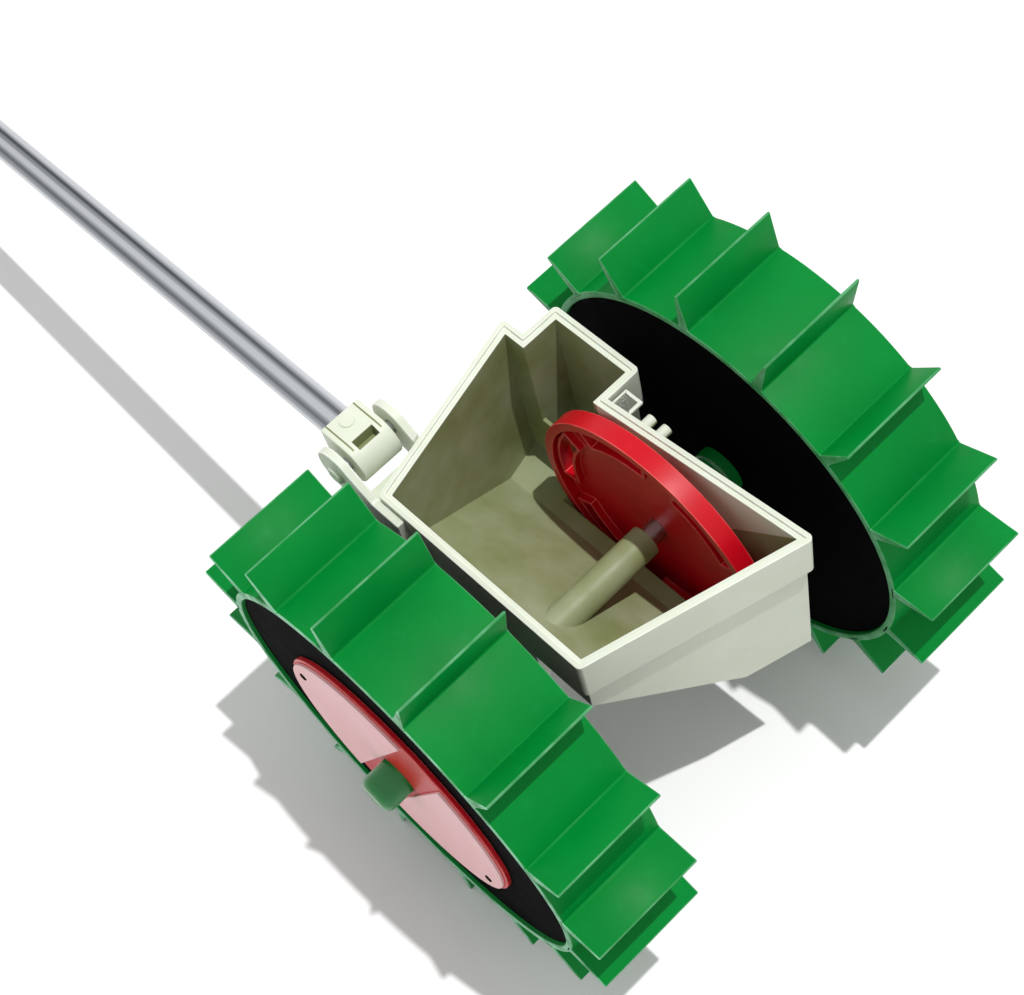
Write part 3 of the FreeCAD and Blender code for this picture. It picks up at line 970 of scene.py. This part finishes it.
# %% The block's openings
window_back, window_front, window_half, window_floor = 0.0, 0.005, 0.0057, 0.0045
groove_front, groove_at, groove_half, block_groove = 0.004, 0.0078, 0.0004, 0.0007
groove_back = -2 * block_reach
tube_stop, tube_clear = 0.005, 0.03          # the tube's bore, from its stop out past the block
pin_bore, pin_clear = 0.00305, 0.02
above = 2 * block_half
cutters = [upright_cutter("window", window_back, window_front, -window_half, window_half,
                          window_floor, above),
           turned("tube_bore", button(tube_stop, tube_clear, tube_bore), handle_pivot, handle_line, 64),
           turned("pin_bore", button(-pin_clear, pin_clear, pin_bore), handle_pivot, (0, 1, 0), 32)]
for y in (-groove_at, groove_at):
    cutters.append(upright_cutter("groove", groove_back, groove_front, y - groove_half, y + groove_half,
                                  block_half - block_groove, above))
for cutter in cutters:
    cut = block.modifiers.new("cut", "BOOLEAN")
    cut.operation = "DIFFERENCE"
    cut.object = cutter
    settled(block)
    bpy.data.objects.remove(cutter)
block.data.shade_smooth()
block.data.set_sharp_from_angle(angle=math.radians(plastic_crease))
print("block faces:", len(block.data.polygons), "box", [round(v, 4) for v in block.dimensions],
      "solid", [round(v, 4) for v in size("handle_socket")])

# %% The block's painted shade
near = 0.0001
window_lip = 0.0012                # the window's walls get no painted shade this far below the top


def shade_in_hollows(face):
    """1 in the window and on the grooves' floors, which are painted darker as painted shade."""
    away = face.center - handle_pivot
    forward, height = -away.dot(handle_line), away.dot(upwards)
    inside = window_back - near < forward < window_front + near and abs(away.y) < window_half + near
    groove = abs(height - block_half + block_groove) < near and forward < 0
    return groove or inside and window_floor - near < height < block_half - window_lip


note(block, "stained", shade_in_hollows)
dress(block, "handle_socket")
print("grimy faces:", sum(number.value > 0 for number in block.data.attributes["stained"].data))

# %% The round pad
mark_radius, mark_height, mark_sink, mark_slope = 0.0036, 0.0008, 0.0003, 0.0003
mark_back = 0.0095                 # from the pivot towards the tube
mark = turned("round_mark", button(-mark_sink, mark_height, mark_radius, soft=mark_slope, taper=mark_slope),
              along_handle(-mark_back, 0, block_half), upwards, sides=48)
dress(mark, "handle_socket", stands_for=False)
print("pad faces:", len(mark.data.polygons))

# %% [markdown]
# ## Rivets on the stored discs
# Each half-moon plate is held by a small rivet near the middle of its round side.  Two rivets a wheel could
# be placed by hand, but they lie on a ring about the axle, so a tree sets them there: their number, the
# ring's radius and the first one's angle are its inputs.

# %% The rivets' tree
def ring_tree():
    tree, given, make, link = new_tree("ring_of_rivets", {
        "Count": "Int", "Radius": "Float", "First": "Float", "Middle": "Vector", "Rivet": "Object",
        "Finish": "Material"})
    share = calculated(tree, "DIVIDE", make("GeometryNodeInputIndex").outputs["Index"], given["Count"])
    angle = calculated(tree, "MULTIPLY_ADD", share, 2 * math.pi, given["First"])
    spot = make("ShaderNodeCombineXYZ")
    for wave, way in (("SINE", "X"), ("COSINE", "Z")):
        out = calculated(tree, "MULTIPLY", calculated(tree, wave, angle), given["Radius"])
        link(out, spot.inputs[way])
    points = make("GeometryNodePoints")
    link(given["Count"], points.inputs["Count"])
    link(spot.outputs["Vector"], points.inputs["Position"])
    rivets = copies_on(tree, points.outputs["Points"], given["Rivet"])
    end_tree(tree, rivets, given["Middle"], given["Finish"])
    return tree


ring_of_rivets = ring_tree()
print("rivets' tree:", len(ring_of_rivets.nodes), "nodes")

# %% Rivets
rivet_radius, rivet_height, rivet_sink, rivet_round = 0.0019, 0.0006, 0.0004, 0.0005
rivet_ring = 0.0565
plate_lean = math.radians(-67)     # the first plate's middle, from the top; backwards is negative
for side, outwards in (("left", 1), ("right", -1)):
    rivet = turned("rivet", button(-rivet_sink, rivet_height, rivet_radius, rivet_round),
                   Vector((0, 0, 0)), (0, outwards, 0), sides=24)
    low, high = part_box(side + "_disc_plates")
    face_y = high.y if outwards > 0 else low.y
    rivets = grown_by(ring_of_rivets, side + "_plate_rivets", Count=2, Radius=rivet_ring, First=plate_lean,
                      Middle=Vector((axle_point.x, face_y, axle_point.z)), Rivet=rivet,
                      Finish=finishes["black_plastic"])
    dress(rivets, side + "_wheel_web", stands_for=False)
    bpy.data.objects.remove(rivet)
print("rivets at", round(rivet_ring * 1000, 1), "mm from the axle")

# %% [markdown]
# ## The solids behind the pieces
# By now a piece stands for every solid, and the solids are hidden.  Each still takes the finish of its slot,
# so that none is bare if it is shown again.

# %% Finishes on the solids
for node, solid in nodes.items():
    solid.data.materials.clear()
    solid.data.materials.append(finishes[slot_of[node]])
print("solids given a finish:", len(nodes))
